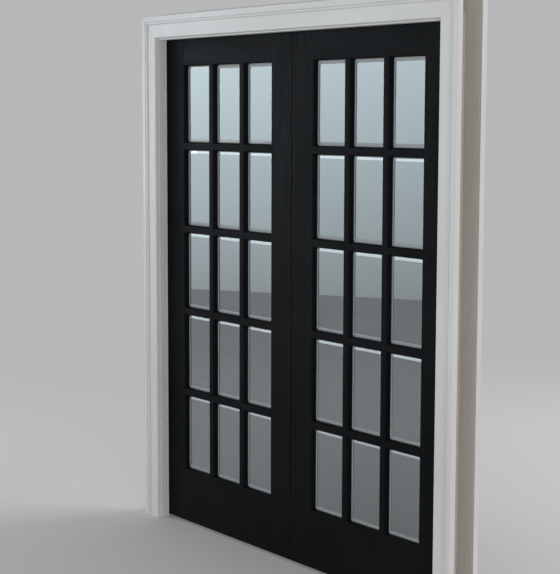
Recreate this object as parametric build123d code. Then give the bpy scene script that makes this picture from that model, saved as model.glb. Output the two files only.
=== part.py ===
from build123d import *
import os

os.makedirs("parts", exist_ok=True)

# A pair of hinged french doors in their cased frame.
# Millimetres. +X is to the right of someone facing the doors from the stop side,
# +Y is the side that the leaves open to, +Z is up and the frame stands on Z = 0.
# The origin is at the frame's foot, in the middle of the opening and of the jamb's depth.

# Leaf sizes
leaf_width = 863.6
leaf_height = 2032.0
leaf_thick = 35.0
hinge_stile_width = 136.0
meeting_stile_width = 129.0
top_rail_width = 120.0
bottom_rail_width = 227.0
bar_width = 33.6
columns = 3
rows = 5

# Clearances round the leaves
side_gap = 3.0
meeting_gap = 3.0
head_gap = 3.0
floor_gap = 10.0
stop_gap = 2.0

# Sticking: the moulded edge round each light, and the rabbet behind it
sticking_width = 4.0
sticking_chamfer_depth = 6.0
glass_recess = 19.7
rabbet_width = 11.0
arris_ease = 1.0

# Joints of the leaf
tenon_length = 60.0
tenon_thick = 12.0
tenon_shoulder = 15.0

# Bevelled panes and their beads
glass_clearance = 1.5
glass_rim_thick = 3.2
glass_bevel_rise = 1.8
glass_bevel_width = 12.5
glass_rim_show = 0.5
bead_lip = 1.5
bead_heel = 1.0

# Frame: rabbeted jambs with a quirked bead at the rabbet
stop_depth = 38.0
stop_lip = 12.7
jamb_thick = 19.0
bead_width = 9.0
quirk_width = 5.0
quirk_depth = 5.0
bead_round = 1.6

# Casings and the backband that wraps their outer edge
front_reveal = 6.0
back_reveal = 6.5
casing_width = 84.0
casing_thick = 16.0
casing_ease = 6.0
band_wrap = 8.0
band_face = 36.0
band_lap = 7.0
band_flat = 24.0
band_round = 3.0
band_quirk_width = 3.0
band_quirk_depth = 3.5
band_bead_drop = 1.0
band_bead_round = 4.5

# Butt hinges
hinge_height = 89.0
hinge_count = 3
hinge_top_drop = 178.0
hinge_foot_rise = 254.0
knuckle_count = 3
knuckle_radius = 6.0
knuckle_slack = 0.3
knuckle_clearance = 0.5
knuckle_set = 6.5
plate_thick = 2.4
plate_reach = 27.0
pin_radius = 2.5
pin_clearance = 0.05
pin_head_radius = 5.0
pin_head_height = 2.5

# Magnetic catches at the head
magnet_length = 40.0
magnet_width = 12.0
magnet_depth = 12.0
magnet_from_edge = 64.0
strike_length = 52.0
strike_width = 18.0
strike_thick = 2.0

# Places that follow from the sizes
jamb_depth = stop_depth + stop_gap + leaf_thick
y_front = -jamb_depth / 2
y_back = jamb_depth / 2
y_stop = y_front + stop_depth
leaf_front = y_stop + stop_gap
leaf_back = leaf_front + leaf_thick
leaf_foot = floor_gap
leaf_top = leaf_foot + leaf_height
x_meet = meeting_gap / 2
x_edge = x_meet + leaf_width
x_rabbet = x_edge + side_gap
x_stop = x_rabbet - stop_lip
x_outer = x_rabbet + jamb_thick
z_rabbet = leaf_top + head_gap
z_stop = z_rabbet - stop_lip
z_outer = z_rabbet + jamb_thick
y_glass = leaf_front + glass_recess
y_glass_back = y_glass + glass_rim_thick

light_width = (leaf_width - hinge_stile_width - meeting_stile_width - (columns - 1) * bar_width) / columns
light_height = (leaf_height - top_rail_width - bottom_rail_width - (rows - 1) * bar_width) / rows
column_pitch = light_width + bar_width
row_pitch = light_height + bar_width
first_column = x_edge - hinge_stile_width - light_width / 2
first_row = leaf_foot + bottom_rail_width + light_height / 2
field_foot = leaf_foot + bottom_rail_width
field_top = leaf_top - top_rail_width

axis_x = x_rabbet - side_gap / 2
axis_y = y_back + knuckle_set
hinge_low = leaf_foot + hinge_foot_rise + hinge_height / 2
hinge_high = leaf_top - hinge_top_drop - hinge_height / 2
hinge_step = (hinge_high - hinge_low) / (hinge_count - 1)
hinge_heights = [hinge_low + hinge_step * i for i in range(hinge_count)]


def block(x0, x1, y0, y1, z0, z1):
    # A box between two corners.
    size = (x1 - x0, y1 - y0, z1 - z0)
    middle = ((x0 + x1) / 2, (y0 + y1) / 2, (z0 + z1) / 2)
    return Pos(*middle) * Box(*size)


def plan(points):
    # A closed outline drawn in plan, X and Y, as a face at Z = 0.
    return make_face(Polyline(*[(x, y, 0) for x, y in points], close=True))


def upright(face, z0, z1):
    # A plan face raised from z0 to z1.
    return Pos(0, 0, z0) * extrude(face, z1 - z0)


def level(points, x0, x1):
    # An outline in Y and Z, drawn out along X.
    face = make_face(Polyline(*[(x0, y, z) for y, z in points], close=True))
    return extrude(face, x1 - x0, dir=(1, 0, 0))


def facing(points, y0, y1):
    # An outline in X and Z, drawn out along Y.
    face = make_face(Polyline(*[(x, y0, z) for x, z in points], close=True))
    return extrude(face, y1 - y0, dir=(0, 1, 0))


def rounded(face, corners, radius):
    # Round the corners of a plan face that lie at the given points.
    chosen = [v for v in face.vertices() if any(abs(v.X - x) + abs(v.Y - y) < 0.01 for x, y in corners)]
    return fillet(chosen, radius)


def mirrored(shape):
    # The same shape on the other side of the middle.
    return mirror(shape, about=Plane.YZ)


def save(name, shapes):
    # One file for one node, made of one or more separate solids.
    solids = [s for shape in shapes for s in shape.solids()]
    body = solids[0] if len(solids) == 1 else Compound(children=solids)
    export_step(body, "parts/" + name + ".step")


def both_sides(shapes):
    # The right-hand pieces and their mirror images on the left.
    return shapes + [mirrored(shape) for shape in shapes]


def save_pair(name, shapes):
    # One file for the right-hand pieces and one for the left-hand ones.
    save("right_" + name, shapes)
    save("left_" + name, [mirrored(shape) for shape in shapes])


# Side jambs: a rabbet for the leaf, with a quirk and bead along its corner
def jamb_outline(inner, rabbet, outer):
    bead_start = y_stop - bead_width
    quirk_start = bead_start - quirk_width
    floor = inner + quirk_depth
    points = [(inner, y_front), (inner, quirk_start), (floor, quirk_start), (floor, bead_start)]
    points += [(inner, bead_start), (inner, y_stop), (rabbet, y_stop), (rabbet, y_back)]
    points += [(outer, y_back), (outer, y_front)]
    face = rounded(plan(points), [(inner, bead_start), (inner, y_stop)], bead_round)
    return rounded(face, [(inner, y_front)], arris_ease)


side_face = jamb_outline(x_stop, x_rabbet, x_outer)
right_jamb = upright(side_face, 0, z_outer)

# Head jamb: the same section laid level between the side jambs
head_face = jamb_outline(z_stop, z_rabbet, z_outer)
head_bar = Rot(0, -90, 0) * upright(head_face, -x_rabbet, x_rabbet)
head_end = block(x_stop, x_rabbet, y_front, y_stop, z_stop, z_outer)
head_jamb = head_bar - [head_end, mirrored(head_end)]


# Casings, mitred at the top corners
def casing_outline(inner, wall, out):
    # out is -1 on the front of the frame and 1 on its back.
    face_y = wall + out * casing_thick
    points = [(inner, wall), (inner + casing_width, wall), (inner + casing_width, face_y), (inner, face_y)]
    return rounded(plan(points), [(inner, face_y)], casing_ease)


def band_outline(inner, wall, out):
    # A flat with a rounded tip, then a quirk and a bead that falls to the casing's face.
    face_y = wall + out * casing_thick
    top_y = face_y + out * band_lap
    quirk_y = top_y - out * band_quirk_depth
    bead_y = top_y - out * band_bead_drop
    heel = inner + casing_width
    tip = heel + band_wrap
    flat_end = tip - band_flat
    bead_end = flat_end - band_quirk_width
    start = tip - band_face
    points = [(heel, wall), (tip, wall), (tip, top_y), (flat_end, top_y), (flat_end, quirk_y)]
    points += [(bead_end, quirk_y), (bead_end, bead_y), (start, bead_y), (start, face_y), (heel, face_y)]
    face = rounded(plan(points), [(tip, top_y)], band_round)
    return rounded(face, [(start, bead_y)], band_bead_round)


def leg_piece(face, x_in, x_out, z_in, z_out, y0, y1):
    run = upright(face, 0, z_out)
    keep = facing([(x_in, 0), (x_out, 0), (x_out, z_out), (x_in, z_in)], y0, y1)
    return run & keep


def head_piece(face, x_in, x_out, z_in, z_out, y0, y1):
    # The section is turned so that its width points up, and runs along X.
    run = Rot(0, -90, 0) * upright(face, -x_out, x_out)
    keep = facing([(-x_in, z_in), (-x_out, z_out), (x_out, z_out), (x_in, z_in)], y0, y1)
    return run & keep


def cased_side(wall, out, x_reveal, z_reveal):
    reach = out * (casing_thick + band_lap)
    y0, y1 = min(wall, wall + reach), max(wall, wall + reach)
    x_end = x_reveal + casing_width
    z_end = z_reveal + casing_width
    leg = leg_piece(casing_outline(x_reveal, wall, out), x_reveal, x_end, z_reveal, z_end, y0, y1)
    head = head_piece(casing_outline(z_reveal, wall, out), x_reveal, x_end, z_reveal, z_end, y0, y1)
    x_tip, z_tip = x_end + band_wrap, z_end + band_wrap
    x_in, z_in = x_tip - band_face, z_tip - band_face
    band_leg = leg_piece(band_outline(x_reveal, wall, out), x_in, x_tip, z_in, z_tip, y0, y1)
    band_head = head_piece(band_outline(z_reveal, wall, out), x_in, x_tip, z_in, z_tip, y0, y1)
    return leg, head, band_leg, band_head


front_leg, front_head, front_band, front_head_band = cased_side(
    y_front, -1, x_stop + front_reveal, z_stop + front_reveal)
back_leg, back_head, back_band, back_head_band = cased_side(
    y_back, 1, x_rabbet + back_reveal, z_rabbet + back_reveal)


# Sections of the leaf's edges: face, chamfer, flank, glass shoulder and rear leg
def edge_points(edge, way):
    # The corner points of one moulded edge; way is the direction of the light.
    face_end = edge - way * sticking_width
    leg = edge - way * rabbet_width
    return [(face_end, leaf_front), (edge, leaf_front + sticking_chamfer_depth),
            (edge, y_glass), (leg, y_glass), (leg, leaf_back)]


def stile_face(outer, edge, way):
    points = [(outer, leaf_back), (outer, leaf_front)] + edge_points(edge, way)
    return rounded(plan(points), [(outer, leaf_front), (outer, leaf_back)], arris_ease)


def bar_face(middle):
    low, high = middle - bar_width / 2, middle + bar_width / 2
    return plan(edge_points(high, 1) + edge_points(low, -1)[::-1])


def rail_points(outer, edge, way):
    return [(y, z) for z, y in [(outer, leaf_back), (outer, leaf_front)] + edge_points(edge, way)]


# Right leaf: stiles run the full height
hinge_edge = x_edge - hinge_stile_width
meeting_edge = x_meet + meeting_stile_width
hinge_stile = upright(stile_face(x_edge, hinge_edge, -1), leaf_foot, leaf_top)
meeting_stile = upright(stile_face(x_meet, meeting_edge, 1), leaf_foot, leaf_top)

# Rails, coped over the stiles' sticking, with a tenon at each end
rail_start = meeting_edge - rabbet_width
rail_end = hinge_edge + rabbet_width
tenon_y = (leaf_front + tenon_shoulder, leaf_front + tenon_shoulder + tenon_thick)


def rail(outer, edge, way):
    body = level(rail_points(outer, edge, way), rail_start, rail_end)
    body -= hinge_stile
    body -= meeting_stile
    inner = edge - way * (rabbet_width + tenon_shoulder)
    far = outer + way * tenon_shoulder
    low, high = min(inner, far), max(inner, far)
    tenons = [block(rail_start - tenon_length, rail_start, *tenon_y, low, high),
              block(rail_end, rail_end + tenon_length, *tenon_y, low, high)]
    return body, tenons


top_body, top_tenons = rail(leaf_top, field_top, -1)
bottom_body, bottom_tenons = rail(leaf_foot, field_foot, 1)
top_rail = top_body + top_tenons
bottom_rail = bottom_body + bottom_tenons
hinge_stile = hinge_stile - [top_tenons[1], bottom_tenons[1]]
meeting_stile = meeting_stile - [top_tenons[0], bottom_tenons[0]]

# Upright bars between the rails
bar_low = field_foot - rabbet_width
bar_high = field_top + rabbet_width
bar_middles = [first_column - column_pitch / 2 - column_pitch * i for i in range(columns - 1)]
uprights = [upright(bar_face(x), bar_low, bar_high) - top_body - bottom_body for x in bar_middles]

# Level bars, one short piece for each light, coped over what they meet
cross_low = first_column - light_width / 2 - rabbet_width
cross_high = first_column + light_width / 2 + rabbet_width
cross_points = [(y, z) for z, y in edge_points(bar_width / 2, 1) + edge_points(-bar_width / 2, -1)[::-1]]
cross_bar = level(cross_points, cross_low, cross_high)
cross_bar -= upright(stile_face(x_edge, hinge_edge, -1), -bar_width, bar_width)
cross_bar -= upright(bar_face(first_column - column_pitch / 2), -bar_width, bar_width)
cross_rows = [field_foot + row_pitch * (i + 1) - bar_width / 2 for i in range(rows - 1)]

# Bevelled pane, its rim held between the glass shoulder and the beads
pane_w = light_width + 2 * (rabbet_width - glass_clearance)
pane_h = light_height + 2 * (rabbet_width - glass_clearance)


def ring_face(width, height, y):
    half_w, half_h = width / 2, height / 2
    corners = [(-half_w, -half_h), (half_w, -half_h), (half_w, half_h), (-half_w, half_h)]
    return make_face(Polyline(*[(x, y, z) for x, z in corners], close=True))


bevel_foot = (light_width - 2 * glass_rim_show, light_height - 2 * glass_rim_show)
bevel_head = tuple(size - 2 * glass_bevel_width for size in bevel_foot)
pane = Pos(0, (y_glass + y_glass_back) / 2, 0) * Box(pane_w, glass_rim_thick, pane_h)
pane += loft([ring_face(*bevel_head, y_glass - glass_bevel_rise), ring_face(*bevel_foot, y_glass)])

# Glazing beads: four mitred pieces round the back of each pane
hole_w = light_width + 2 * rabbet_width
hole_h = light_height + 2 * rabbet_width
heel_w, heel_h = hole_w - 2 * bead_heel, hole_h - 2 * bead_heel
bead_step = y_glass_back + bead_lip
bead_ring = Pos(0, (y_glass_back + leaf_back) / 2, 0) * Box(hole_w, leaf_back - y_glass_back, hole_h)
bead_ring -= Pos(0, (y_glass_back + bead_step) / 2, 0) * Box(light_width, bead_lip, light_height)
bead_ring -= loft([ring_face(light_width, light_height, bead_step), ring_face(heel_w, heel_h, leaf_back)])
half_w, half_h, cut = hole_w / 2, hole_h / 2, rabbet_width + bead_lip
top_bead = bead_ring & facing([(-half_w, half_h), (half_w, half_h), (half_w - cut, half_h - cut),
                               (cut - half_w, half_h - cut)], y_glass_back, leaf_back)
side_bead = bead_ring & facing([(half_w, half_h), (half_w, -half_h), (half_w - cut, cut - half_h),
                                (half_w - cut, half_h - cut)], y_glass_back, leaf_back)
bead_set = [top_bead, mirror(top_bead, about=Plane.XY), side_bead, mirrored(side_bead)]

column_middles = [first_column - column_pitch * i for i in range(columns)]
row_middles = [first_row + row_pitch * i for i in range(rows)]

# Butt hinges on the right side; the left ones are their mirror images
knuckle_pitch = hinge_height / knuckle_count
bore_radius = pin_radius + pin_clearance
clear_radius = knuckle_radius + knuckle_clearance


def drum(radius, z0, z1, x=axis_x, y=axis_y):
    return Pos(x, y, (z0 + z1) / 2) * Cylinder(radius, z1 - z0)


def knuckle_span(index, slack):
    low = -hinge_height / 2 + knuckle_pitch * index
    return low - slack, low + knuckle_pitch + slack


def hinge_plate(x_face, way, first):
    # way is 1 for the plate let into the jamb and -1 for the plate in the leaf.
    x_deep = x_face + way * plate_thick
    x0, x1 = min(x_face, x_deep), max(x_face, x_deep)
    seat = block(x0, x1, y_back - plate_reach, y_back, -hinge_height / 2, hinge_height / 2)
    plate = block(x0, x1, y_back - plate_reach, axis_y, -hinge_height / 2, hinge_height / 2)
    for index in range(knuckle_count):
        if index % 2 == first:
            continue
        low, high = knuckle_span(index, knuckle_slack)
        plate -= drum(clear_radius, low, high)
    for index in range(first, knuckle_count, 2):
        low, high = knuckle_span(index, 0)
        plate += drum(knuckle_radius, low, high)
    plate -= drum(bore_radius, -hinge_height, hinge_height)
    return plate, seat


jamb_plate, jamb_seat = hinge_plate(x_rabbet, 1, 0)
leaf_plate, leaf_seat = hinge_plate(x_edge, -1, 1)
pin_foot, pin_top = -hinge_height / 2, hinge_height / 2
pin = drum(pin_radius, pin_foot, pin_top) + drum(pin_head_radius, pin_top, pin_top + pin_head_height)


def at_hinges(shape):
    return [Pos(0, 0, z) * shape for z in hinge_heights]


right_jamb = right_jamb - at_hinges(jamb_seat)
hinge_stile = hinge_stile - at_hinges(leaf_seat)

# Magnetic catch: a magnet in the leaf's top and a strike let into the head
magnet_x = x_meet + magnet_from_edge
magnet_y = (leaf_front + leaf_back) / 2


def catch_block(length, width, z0, z1):
    x0, x1 = magnet_x - length / 2, magnet_x + length / 2
    return block(x0, x1, magnet_y - width / 2, magnet_y + width / 2, z0, z1)


magnet = catch_block(magnet_length, magnet_width, leaf_top - magnet_depth, leaf_top)
strike = catch_block(strike_length, strike_width, z_rabbet, z_rabbet + strike_thick)
meeting_stile = meeting_stile - magnet
head_jamb = head_jamb - both_sides([strike])

# Frame pieces
save_pair("side_jamb", [right_jamb])
save("head_jamb", [head_jamb])
save_pair("front_casing", [front_leg])
save("front_head_casing", [front_head])
save_pair("front_backband", [front_band])
save("front_head_backband", [front_head_band])
save_pair("back_casing", [back_leg])
save("back_head_casing", [back_head])
save_pair("back_backband", [back_band])
save("back_head_backband", [back_head_band])
save("jamb_hinge_plates", both_sides(at_hinges(jamb_plate)))
save("hinge_pins", both_sides(at_hinges(pin)))
save("catch_strikes", both_sides([strike]))

# Leaf pieces
save_pair("hinge_stile", [hinge_stile])
save_pair("meeting_stile", [meeting_stile])
save_pair("top_rail", [top_rail])
save_pair("bottom_rail", [bottom_rail])
for number, piece in enumerate(uprights, 1):
    save_pair("upright_bar_" + str(number), [piece])
for number, z in enumerate(cross_rows, 1):
    row = [Pos(-column_pitch * i, 0, z) * cross_bar for i in range(columns)]
    save_pair("cross_bars_row_" + str(number), row)
for number, z in enumerate(row_middles, 1):
    save_pair("panes_row_" + str(number), [Pos(x, 0, z) * pane for x in column_middles])
light_middles = [Pos(x, 0, z) for x in column_middles for z in row_middles]
save_pair("glazing_beads", [place * bead for place in light_middles for bead in bead_set])
save_pair("leaf_hinge_plates", at_hinges(leaf_plate))
save_pair("catch_magnet", [magnet])
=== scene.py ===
import math

import bmesh
import bpy
from mathutils import Matrix, Vector


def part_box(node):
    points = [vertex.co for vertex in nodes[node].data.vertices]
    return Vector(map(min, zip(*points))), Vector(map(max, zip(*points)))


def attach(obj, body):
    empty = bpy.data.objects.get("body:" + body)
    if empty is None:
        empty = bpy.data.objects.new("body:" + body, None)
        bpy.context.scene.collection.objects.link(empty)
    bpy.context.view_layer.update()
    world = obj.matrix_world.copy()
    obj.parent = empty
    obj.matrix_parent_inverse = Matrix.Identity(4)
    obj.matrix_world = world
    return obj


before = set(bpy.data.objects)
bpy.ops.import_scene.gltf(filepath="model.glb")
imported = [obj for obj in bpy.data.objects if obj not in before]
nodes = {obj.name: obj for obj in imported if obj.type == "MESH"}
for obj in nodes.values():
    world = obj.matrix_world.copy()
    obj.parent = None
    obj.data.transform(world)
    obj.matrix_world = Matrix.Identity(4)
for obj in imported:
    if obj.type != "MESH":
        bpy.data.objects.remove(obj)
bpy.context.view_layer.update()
scene = bpy.context.scene

# Corners of the frame's nodes, which place the screws and mark faces
jamb_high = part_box("right_side_jamb")[1]
head_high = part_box("head_jamb")[1]
stile_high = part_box("right_hinge_stile")[1]
pane_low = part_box("right_panes_row_1")[0]
magnet_low, magnet_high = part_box("right_catch_magnet")
strikes_low, strikes_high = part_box("catch_strikes")
plates_low, plates_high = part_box("jamb_hinge_plates")


# Camera: the photograph's place, direction and framing
PHOTO_LONG_SIDE = 574
FOCAL_PIXELS = 1516.8
CAMERA_PLACE = (4.538, -3.4875, 1.720)
CAMERA_YAW, CAMERA_PITCH, CAMERA_ROLL = 52.878, -6.435, -0.169
SENSOR = 36.0
NEAREST, FARTHEST = 0.05, 200.0


def add_camera():
    data = bpy.data.cameras.new("camera")
    data.sensor_width = SENSOR
    data.lens = FOCAL_PIXELS / PHOTO_LONG_SIDE * SENSOR
    data.clip_start, data.clip_end = NEAREST, FARTHEST
    camera = bpy.data.objects.new("camera", data)
    camera.location = CAMERA_PLACE
    angles = (90 + CAMERA_PITCH, CAMERA_ROLL, CAMERA_YAW)
    camera.rotation_euler = [math.radians(angle) for angle in angles]
    scene.collection.objects.link(camera)
    scene.camera = camera


# Node helpers
def link(tree, source, target):
    tree.links.new(source, target)


def add_node(tree, kind, **settings):
    node = tree.nodes.new(kind)
    for key, value in settings.items():
        setattr(node, key, value)
    return node


def maths(tree, operation, first, second=None):
    node = add_node(tree, "ShaderNodeMath", operation=operation)
    for index, value in enumerate((first, second)):
        if value is None:
            continue
        if isinstance(value, (int, float)):
            node.inputs[index].default_value = value
        else:
            link(tree, value, node.inputs[index])
    return node.outputs[0]


# Most of a noise lies between these two values, so a ramp starts and ends there.
NOISE_LOW, NOISE_HIGH = 0.3, 0.7


def ramp(tree, value, to_low, to_high, low=NOISE_LOW, high=NOISE_HIGH):
    node = add_node(tree, "ShaderNodeMapRange")
    link(tree, value, node.inputs["Value"])
    ends = {"From Min": low, "From Max": high, "To Min": to_low, "To Max": to_high}
    for name, number in ends.items():
        node.inputs[name].default_value = number
    return node.outputs["Result"]


def mix_colour(tree, factor, first, second):
    node = add_node(tree, "ShaderNodeMix", data_type="RGBA")
    slots = {socket.identifier: socket for socket in node.inputs}
    targets = (("Factor_Float", factor), ("A_Color", first), ("B_Color", second))
    for name, value in targets:
        if isinstance(value, tuple):
            slots[name].default_value = (*value, 1.0)
        else:
            link(tree, value, slots[name])
    return {socket.identifier: socket for socket in node.outputs}["Result_Color"]


def mix_shaders(tree, factor, first, second):
    node = add_node(tree, "ShaderNodeMixShader")
    link(tree, factor, node.inputs[0])
    link(tree, first.outputs[0], node.inputs[1])
    link(tree, second.outputs[0], node.inputs[2])
    return node.outputs[0]


def object_point(tree, scale=(1, 1, 1)):
    place = add_node(tree, "ShaderNodeTexCoord")
    stretch = add_node(tree, "ShaderNodeMapping")
    stretch.inputs["Scale"].default_value = scale
    link(tree, place.outputs["Object"], stretch.inputs["Vector"])
    return stretch.outputs["Vector"]


def object_axis(tree, axis):
    place = add_node(tree, "ShaderNodeTexCoord")
    split = add_node(tree, "ShaderNodeSeparateXYZ")
    link(tree, place.outputs["Object"], split.inputs[0])
    return split.outputs[axis]


def noise(tree, vector, scale, detail=3.0, roughness=0.5):
    node = add_node(tree, "ShaderNodeTexNoise")
    node.inputs["Scale"].default_value = scale
    node.inputs["Detail"].default_value = detail
    node.inputs["Roughness"].default_value = roughness
    link(tree, vector, node.inputs["Vector"])
    return node.outputs["Fac"]


def bump(tree, height, depth, before=None):
    node = add_node(tree, "ShaderNodeBump")
    node.inputs["Distance"].default_value = depth
    link(tree, height, node.inputs["Height"])
    if before is not None:
        link(tree, before, node.inputs["Normal"])
    return node.outputs["Normal"]


def new_material(name):
    material = bpy.data.materials.new(name)
    material.use_nodes = True
    tree = material.node_tree
    return material, tree, tree.nodes["Principled BSDF"]


# Enamel: colours, and the range that each roughness wanders over
BLACK_DARK, BLACK_LIGHT = (0.0032, 0.0038, 0.0048), (0.0068, 0.0077, 0.0092)
WHITE_DARK, WHITE_LIGHT = (0.535, 0.530, 0.530), (0.585, 0.578, 0.575)
PRIMER_DARK, PRIMER_LIGHT = (0.40, 0.38, 0.345), (0.50, 0.48, 0.45)
BLACK_ROUGH, WHITE_ROUGH = (0.42, 0.54), (0.36, 0.48)
BLACK_SPECULAR, WHITE_SPECULAR = 0.028, 0.5
STREAK_ROUGH, PRIMER_ROUGH = 0.05, 0.85

# Enamel: noise scales in waves a metre, depths in metres
STROKE_SCALE, STROKE_DEPTH, STROKE_ROUGH = 260.0, 0.0007, 0.6
SAG_SCALE, SAG_DEPTH = 38.0, 0.0014
SKIN_SCALE, SKIN_DEPTH = 900.0, 0.00004
TONE_SCALE, GLOSS_SCALE = 2.6, 14.0
PRIMER_SCALE, PRIMER_GRAIN = 90.0, 0.7
SLOW_SHARE, STROKE_SHARE = 0.75, 0.25
ALONG = {"x": (0.12, 1, 1), "z": (1, 1, 0.12)}

# Faces that show only primer, as an axis, a plane and the side of it that they lie on. Each
# plane is a hair or two inside the face that it marks.
HAIR = 0.0001
JAMB_BACK = ("X", jamb_high.x - 2 * HAIR, "GREATER_THAN")
HEAD_BACK = ("Z", head_high.z - 2 * HAIR, "GREATER_THAN")
CASING_BACK = ("Y", jamb_high.y + HAIR, "LESS_THAN")


def primer_mask(tree, face):
    # 1 on the faces that are covered once the frame is fitted, and 0 on the painted ones.
    axis, plane, side = face
    away = maths(tree, "ABSOLUTE", object_axis(tree, axis))
    return maths(tree, side, away, plane)


def paint(name, dark, light, rough, way, specular, covered=None):
    # Brushed enamel: strokes along the piece, a fine skin, and slow changes of tone and gloss.
    # A covered face has only a dull primer.
    material, tree, shader = new_material(name)
    strokes = noise(tree, object_point(tree, ALONG[way]), STROKE_SCALE, 3.0, STROKE_ROUGH)
    sags = noise(tree, object_point(tree, ALONG[way]), SAG_SCALE, 2.0)
    skin = noise(tree, object_point(tree), SKIN_SCALE, 2.0)
    slow = noise(tree, object_point(tree), TONE_SCALE, 4.0)
    patches = noise(tree, object_point(tree, ALONG[way]), GLOSS_SCALE)
    slow_tone = ramp(tree, slow, 0.0, SLOW_SHARE)
    stroke_tone = ramp(tree, strokes, 0.0, STROKE_SHARE)
    colour = mix_colour(tree, maths(tree, "ADD", slow_tone, stroke_tone), dark, light)
    streaks = ramp(tree, strokes, -STREAK_ROUGH, STREAK_ROUGH)
    roughness = maths(tree, "ADD", ramp(tree, patches, *rough), streaks)
    if covered:
        bare = primer_mask(tree, covered)
        grain = noise(tree, object_point(tree, ALONG[way]), PRIMER_SCALE, 4.0, PRIMER_GRAIN)
        primer = mix_colour(tree, grain, PRIMER_DARK, PRIMER_LIGHT)
        colour = mix_colour(tree, bare, colour, primer)
        dull = maths(tree, "MULTIPLY", bare, PRIMER_ROUGH)
        roughness = maths(tree, "MAXIMUM", roughness, dull)
    normal = bump(tree, sags, SAG_DEPTH)
    normal = bump(tree, strokes, STROKE_DEPTH, normal)
    normal = bump(tree, skin, SKIN_DEPTH, normal)
    link(tree, colour, shader.inputs["Base Color"])
    link(tree, roughness, shader.inputs["Roughness"])
    link(tree, normal, shader.inputs["Normal"])
    shader.inputs["Specular IOR Level"].default_value = specular
    return material


def black_paint(way):
    name = "leaf_paint_" + way
    return paint(name, BLACK_DARK, BLACK_LIGHT, BLACK_ROUGH, way, BLACK_SPECULAR)


def white_paint(name, way, covered):
    return paint(name, WHITE_DARK, WHITE_LIGHT, WHITE_ROUGH, way, WHITE_SPECULAR, covered)


# Glass: the raised flat of a pane is thicker than its bevel. Its much darker tint is painted
# shade, and the bevel's lighter tint is a painted highlight along the pane's edges
PAINTED_SHADE_FLAT_TINT, PAINTED_HIGHLIGHT_BEVEL_TINT = (0.125, 0.139, 0.145), (0.46, 0.495, 0.505)
GLASS_IOR = 1.5
RIPPLE_SCALE, RIPPLE_DEPTH = 7.0, 0.0001


def glass_material():
    material, tree, shader = new_material("clear_glass")
    flat = maths(tree, "LESS_THAN", object_axis(tree, "Y"), pane_low.y + HAIR)
    # Painted shade on the flat and a painted highlight on the bevel, set in the glass's colour
    link(tree, mix_colour(tree, flat, PAINTED_HIGHLIGHT_BEVEL_TINT, PAINTED_SHADE_FLAT_TINT), shader.inputs["Base Color"])
    shader.inputs["Transmission Weight"].default_value = 1.0
    shader.inputs["IOR"].default_value = GLASS_IOR
    shader.inputs["Roughness"].default_value = 0.0
    shader.inputs["Coat Weight"].default_value = 1.0
    shader.inputs["Coat Roughness"].default_value = 0.0
    ripples = noise(tree, object_point(tree), RIPPLE_SCALE, 2.0)
    link(tree, bump(tree, ripples, RIPPLE_DEPTH), shader.inputs["Normal"])
    return material


# Steel: a fine upright grain and cloudy tones
GRAIN_SCALE, GRAIN_DEPTH, GRAIN_STRETCH = 3000.0, 0.00001, (1, 1, 0.05)
CLOUD_SCALE = 60.0
STEEL_ROUGH = (0.26, 0.40)


def steel_material(name, dark, light):
    material, tree, shader = new_material(name)
    shader.inputs["Metallic"].default_value = 1.0
    grain = noise(tree, object_point(tree, GRAIN_STRETCH), GRAIN_SCALE, 2.0)
    clouds = ramp(tree, noise(tree, object_point(tree), CLOUD_SCALE), 0.0, 1.0)
    link(tree, mix_colour(tree, clouds, dark, light), shader.inputs["Base Color"])
    link(tree, ramp(tree, grain, *STEEL_ROUGH), shader.inputs["Roughness"])
    link(tree, bump(tree, grain, GRAIN_DEPTH), shader.inputs["Normal"])
    return material


leaf_paints = {way: black_paint(way) for way in "xz"}
side_jamb_paint = white_paint("side_jamb_paint", "z", JAMB_BACK)
head_jamb_paint = white_paint("head_jamb_paint", "x", HEAD_BACK)
casing_paints = {way: white_paint("casing_paint_" + way, way, CASING_BACK) for way in "xz"}
clear_glass = glass_material()
satin_steel = steel_material("satin_steel", (0.50, 0.49, 0.47), (0.62, 0.61, 0.59))
screw_steel = steel_material("screw_steel", (0.44, 0.43, 0.41), (0.58, 0.57, 0.55))


# The frame's nodes: which material each has, and how much its arrises are eased
WOOD_ARRIS, HINGE_ARRIS, PIN_ARRIS = 0.0007, 0.0003, 0.0007
ARRIS_STEPS, ARRIS_ANGLE = 2, 28
WELD_REACH, FLAT_ANGLE, FLAT_WEIGHT = 0.00001, 0.5, 80
LEVEL_WORDS = ("rail", "cross_bars", "head")
STEEL_WORDS = ("plates", "pins", "strikes", "magnet")


def soften(node, width):
    # Ease every arris by a small radius, with even shading over the flats. The triangles of a
    # flat are joined first, because easing makes spikes where their edges meet an arris.
    mesh = node.data
    if "custom_normal" in mesh.attributes:
        mesh.attributes.remove(mesh.attributes["custom_normal"])
    for face in mesh.polygons:
        face.use_smooth = True
    weld = node.modifiers.new("weld", "WELD")
    weld.merge_threshold = WELD_REACH
    flats = node.modifiers.new("flats", "DECIMATE")
    flats.decimate_type = "DISSOLVE"
    flats.angle_limit = math.radians(FLAT_ANGLE)
    ease = node.modifiers.new("arris", "BEVEL")
    ease.width, ease.segments = width, ARRIS_STEPS
    ease.limit_method = "ANGLE"
    ease.angle_limit = math.radians(ARRIS_ANGLE)
    ease.use_clamp_overlap = False
    even = node.modifiers.new("even", "WEIGHTED_NORMAL")
    even.weight = FLAT_WEIGHT


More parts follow.
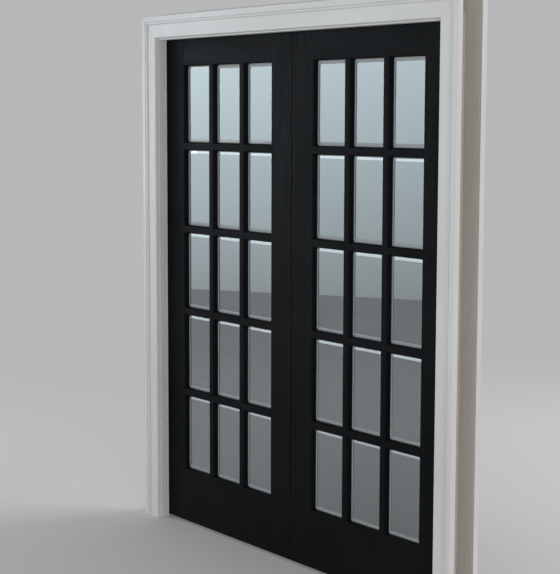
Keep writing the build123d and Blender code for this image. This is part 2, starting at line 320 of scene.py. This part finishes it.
def finish_of(name):
    # The glazing beads stay sharp, because their mitred ends share edges that easing would open.
    way = "x" if any(word in name for word in LEVEL_WORDS) else "z"
    if "panes" in name:
        return clear_glass, None
    if "pins" in name:
        return satin_steel, PIN_ARRIS
    if any(word in name for word in STEEL_WORDS):
        return satin_steel, HINGE_ARRIS
    if "side_jamb" in name:
        return side_jamb_paint, WOOD_ARRIS
    if name == "head_jamb":
        return head_jamb_paint, WOOD_ARRIS
    if "casing" in name or "backband" in name:
        return casing_paints[way], WOOD_ARRIS
    if "beads" in name:
        return leaf_paints[way], None
    return leaf_paints[way], WOOD_ARRIS


def dress_nodes():
    for name, node in nodes.items():
        material, arris = finish_of(name)
        node.data.materials.clear()
        node.data.materials.append(material)
        if arris:
            soften(node, arris)


# Screws: countersunk heads with a cross recess, on the faces of the plates and of the jambs
HINGE_SCREW, STRIKE_SCREW, CATCH_SCREW, HEAD_SCREW = 0.0039, 0.0029, 0.0022, 0.0044
HEAD_PROUD, HEAD_STEPS = 0.0003, 24
# The rings of a head, as shares of its radius and of how proud it stands
HEAD_RINGS = ((0.94, 1.0), (1.0, 0.3), (1.0, 0.0), (0.55, -3.0))
# The recess as shares of the head's radius, and its foot as shares of its mouth
ARM_REACH, ARM_HALF, RECESS_DEPTH = 0.60, 0.15, 0.359
FOOT_REACH, FOOT_HALF = 0.45, 0.8
# Each head is turned on from the last by the golden angle, so that no two line up
SCREW_TURN = 2.39996


def cross_outline(reach, half):
    corners = []
    for quarter in range(4):
        angle = quarter * math.pi / 2
        for along, across in ((half, -half), (reach, -half), (reach, half)):
            x = along * math.cos(angle) - across * math.sin(angle)
            y = along * math.sin(angle) + across * math.cos(angle)
            corners.append((x, y))
    return corners


def ring_outline(radius):
    angles = [2 * math.pi * step / HEAD_STEPS for step in range(HEAD_STEPS)]
    return [(radius * math.cos(angle), radius * math.sin(angle)) for angle in angles]


def loop_of(shape, points, height, place):
    return [shape.verts.new(place @ Vector((x, y, height))) for x, y in points]


def skirt(shape, first, second):
    count = len(first)
    for i in range(count):
        after = (i + 1) % count
        shape.faces.new((first[i], first[after], second[after], second[i]))


def open_edges(verts):
    edges = [edge for vert in verts for edge in vert.link_edges if len(edge.link_faces) == 1]
    return list(dict.fromkeys(edges))


def screw_head(shape, point, out, radius, spin):
    facing = Vector(out).to_track_quat("Z", "Y").to_matrix().to_4x4()
    place = Matrix.Translation(point) @ facing @ Matrix.Rotation(spin, 4, "Z")
    rings = []
    for share, level in HEAD_RINGS:
        rings.append(loop_of(shape, ring_outline(share * radius), level * HEAD_PROUD, place))
    for first, second in zip(rings, rings[1:]):
        skirt(shape, first, second)
    shape.faces.new(rings[-1])
    reach, half = ARM_REACH * radius, ARM_HALF * radius
    mouth = loop_of(shape, cross_outline(reach, half), HEAD_PROUD, place)
    foot_outline = cross_outline(reach * FOOT_REACH, half * FOOT_HALF)
    foot = loop_of(shape, foot_outline, HEAD_PROUD - RECESS_DEPTH * radius, place)
    skirt(shape, mouth, foot)
    shape.faces.new(foot)
    rim = open_edges(rings[0] + mouth)
    bmesh.ops.triangle_fill(shape, use_beauty=True, use_dissolve=False, edges=rim)


def add_screws(name, body, places, radius):
    mesh = bpy.data.meshes.new(name)
    shape = bmesh.new()
    for index, (point, out) in enumerate(places):
        screw_head(shape, point, out, radius, SCREW_TURN * index)
    bmesh.ops.recalc_face_normals(shape, faces=shape.faces)
    shape.to_mesh(mesh)
    shape.free()
    piece = bpy.data.objects.new(name, mesh)
    scene.collection.objects.link(piece)
    mesh.materials.append(screw_steel)
    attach(piece, body)


# Where the screws are: a hinge's as y and the rise from the plate's middle, the others spread
# to both sides of the middle of the catch or of the jamb
HINGE_SCREWS = ((0.0190, -0.030), (0.0285, 0.0), (0.0190, 0.030))
HALF_PLATE = 0.0445
STRIKE_SPREAD, CATCH_SPREAD, HEAD_SPREAD = 0.0205, 0.0155, 0.0235
HEAD_SCREW_DROP = 0.0095

low_hinge, high_hinge = plates_low.z + HALF_PLATE, plates_high.z - HALF_PLATE
hinge_heights = (low_hinge, (low_hinge + high_hinge) / 2, high_hinge)
jamb_plate_x, leaf_plate_x = head_high.x, stile_high.x
catch_x = (magnet_low.x + magnet_high.x) / 2
catch_y = (strikes_low.y + strikes_high.y) / 2
head_screw_z = head_high.z - HEAD_SCREW_DROP


def hinge_screws(x, out):
    return [((x, y, z + rise), out) for z in hinge_heights for y, rise in HINGE_SCREWS]


def catch_screws(x, spread, z, out):
    return [((x + step, catch_y, z), out) for step in (-spread, spread)]


def head_screws(x, out):
    return [((x, y, head_screw_z), out) for y in (-HEAD_SPREAD, HEAD_SPREAD)]


def add_side_screws(word, side):
    leaf, outward, inward = word + "_leaf", (side, 0, 0), (-side, 0, 0)
    up, down = (0, 0, 1), (0, 0, -1)
    jamb_plates = hinge_screws(side * jamb_plate_x, inward)
    leaf_plates = hinge_screws(side * leaf_plate_x, outward)
    strike = catch_screws(side * catch_x, STRIKE_SPREAD, strikes_low.z, down)
    catch = catch_screws(side * catch_x, CATCH_SPREAD, stile_high.z, up)
    head = head_screws(side * jamb_high.x, outward)
    add_screws(word + "_jamb_plate_screws", "frame", jamb_plates, HINGE_SCREW)
    add_screws(word + "_leaf_plate_screws", leaf, leaf_plates, HINGE_SCREW)
    add_screws(word + "_strike_screws", "frame", strike, STRIKE_SCREW)
    add_screws(word + "_catch_screws", leaf, catch, CATCH_SCREW)
    add_screws(word + "_head_screws", "frame", head, HEAD_SCREW)


# Stage: a pale floor that fades into the pale surround
SURROUND = (0.47, 0.475, 0.48)
AMBIENT = 0.45
FLOOR = (0.68, 0.675, 0.67)
FLOOR_NEAR, FLOOR_FAR, FLOOR_SIZE, FLOOR_STEPS = 2.6, 6.0, 9.0, 96
FLOOR_DROP = 0.0005
FLOOR_ROUGH, FLOOR_SPECULAR = 0.85, 0.2
FLOOR_SCALE, FLOOR_SHADE = 3.0, 0.97


def floor_material():
    # Opaque near the middle and clear at the rim, so that no edge shows.
    material, tree, shader = new_material("floor")
    shader.inputs["Roughness"].default_value = FLOOR_ROUGH
    shader.inputs["Specular IOR Level"].default_value = FLOOR_SPECULAR
    tone = ramp(tree, noise(tree, object_point(tree), FLOOR_SCALE), FLOOR_SHADE, 1.0)
    shaded = tuple(part * FLOOR_SHADE for part in FLOOR)
    link(tree, mix_colour(tree, tone, shaded, FLOOR), shader.inputs["Base Color"])
    place = add_node(tree, "ShaderNodeTexCoord")
    reach = add_node(tree, "ShaderNodeVectorMath", operation="LENGTH")
    link(tree, place.outputs["Object"], reach.inputs[0])
    fade = add_node(tree, "ShaderNodeMapRange", interpolation_type="SMOOTHSTEP")
    fade.inputs["From Min"].default_value = FLOOR_NEAR
    fade.inputs["From Max"].default_value = FLOOR_FAR
    link(tree, reach.outputs["Value"], fade.inputs["Value"])
    clear = add_node(tree, "ShaderNodeBsdfTransparent")
    surface = mix_shaders(tree, fade.outputs["Result"], shader, clear)
    link(tree, surface, tree.nodes["Material Output"].inputs["Surface"])
    return material


def add_floor():
    mesh = bpy.data.meshes.new("floor")
    shape = bmesh.new()
    bmesh.ops.create_circle(shape, cap_ends=True, radius=FLOOR_SIZE, segments=FLOOR_STEPS)
    shape.to_mesh(mesh)
    shape.free()
    mesh.materials.append(floor_material())
    floor = bpy.data.objects.new("floor", mesh)
    floor.location = (0, 0, -FLOOR_DROP)
    scene.collection.objects.link(floor)


def add_world():
    # AMBIENT is the light that the surround gives. What is seen of it, also in gloss and glass,
    # has the surround's own colour.
    world = bpy.data.worlds.new("surround")
    world.use_nodes = True
    tree = world.node_tree
    light = tree.nodes["Background"]
    light.inputs["Color"].default_value = (*SURROUND, 1.0)
    light.inputs["Strength"].default_value = AMBIENT / SURROUND[1]
    seen = add_node(tree, "ShaderNodeBackground")
    seen.inputs["Color"].default_value = (*SURROUND, 1.0)
    path = add_node(tree, "ShaderNodeLightPath")
    either = maths(tree, "MAXIMUM", path.outputs["Is Camera Ray"], path.outputs["Is Glossy Ray"])
    either = maths(tree, "MAXIMUM", either, path.outputs["Is Transmission Ray"])
    surface = mix_shaders(tree, either, light, seen)
    link(tree, surface, tree.nodes["World Output"].inputs["Surface"])
    scene.world = world


# Soft lamps, in metres and watts
MIDDLE = (0.0, 0.0, 1.05)
PLAIN, DAYLIGHT, WARM, COOL = (1, 1, 1), (0.93, 0.97, 1.0), (1.0, 0.98, 0.95), (0.73, 0.93, 1.0)
# A tall soft box stands on each side, where the panes reflect it. Its light fades to a share
# at its foot.
BOX_PLACE, BOX_AIM = (6.3, -4.8, 1.6), (3.3, 0.0, 1.2)
BOX_SIZE, BOX_FOOT = (3.8, 3.0), 0.2


def fade_to_foot(data, share):
    data.use_nodes = True
    tree = data.node_tree
    spot = add_node(tree, "ShaderNodeNewGeometry")
    split = add_node(tree, "ShaderNodeSeparateXYZ")
    link(tree, spot.outputs["Parametric"], split.inputs[0])
    strength = ramp(tree, split.outputs["Y"], share, 1.0, 0.0, 1.0)
    link(tree, strength, tree.nodes["Emission"].inputs["Strength"])


def add_lamp(name, place, aim, size, power, colour, shines=True, foot=None):
    # shines puts the lamp in reflections, and foot is the share of its light left at its foot.
    data = bpy.data.lights.new(name, "AREA")
    data.shape = "RECTANGLE"
    data.size, data.size_y = size
    data.energy = power
    data.color = colour
    lamp = bpy.data.objects.new(name, data)
    lamp.location = place
    away = Vector(place) - Vector(aim)
    lamp.rotation_euler = away.to_track_quat("Z", "Y").to_euler()
    lamp.visible_camera = lamp.visible_transmission = False
    lamp.visible_glossy = shines
    scene.collection.objects.link(lamp)
    if foot is not None:
        fade_to_foot(data, foot)


def add_soft_box(name, side, power, colour):
    place, aim = [(side * spot[0], *spot[1:]) for spot in (BOX_PLACE, BOX_AIM)]
    add_lamp(name, place, aim, BOX_SIZE, power, colour, foot=BOX_FOOT)


def add_lamps():
    add_soft_box("left_soft_box", -1, 176.0, COOL)
    add_lamp("key", (-7.0, -2.6, 2.0), MIDDLE, (2.6, 2.6), 60.0, DAYLIGHT)
    add_lamp("front", (-1.4, -7.6, 1.1), MIDDLE, (3.0, 1.8), 60.0, PLAIN, shines=False)
    add_soft_box("right_soft_box", 1, 140.0, WARM)
    add_lamp("fill", (7.2, -2.8, 1.2), MIDDLE, (3.0, 2.4), 150.0, WARM, shines=False)
    add_lamp("back", (2.5, 6.2, 4.2), MIDDLE, (5.0, 3.6), 260.0, PLAIN)


dress_nodes()
add_side_screws("left", -1)
add_side_screws("right", 1)
add_camera()
add_floor()
add_world()
add_lamps()
scene.view_settings.view_transform = "Standard"
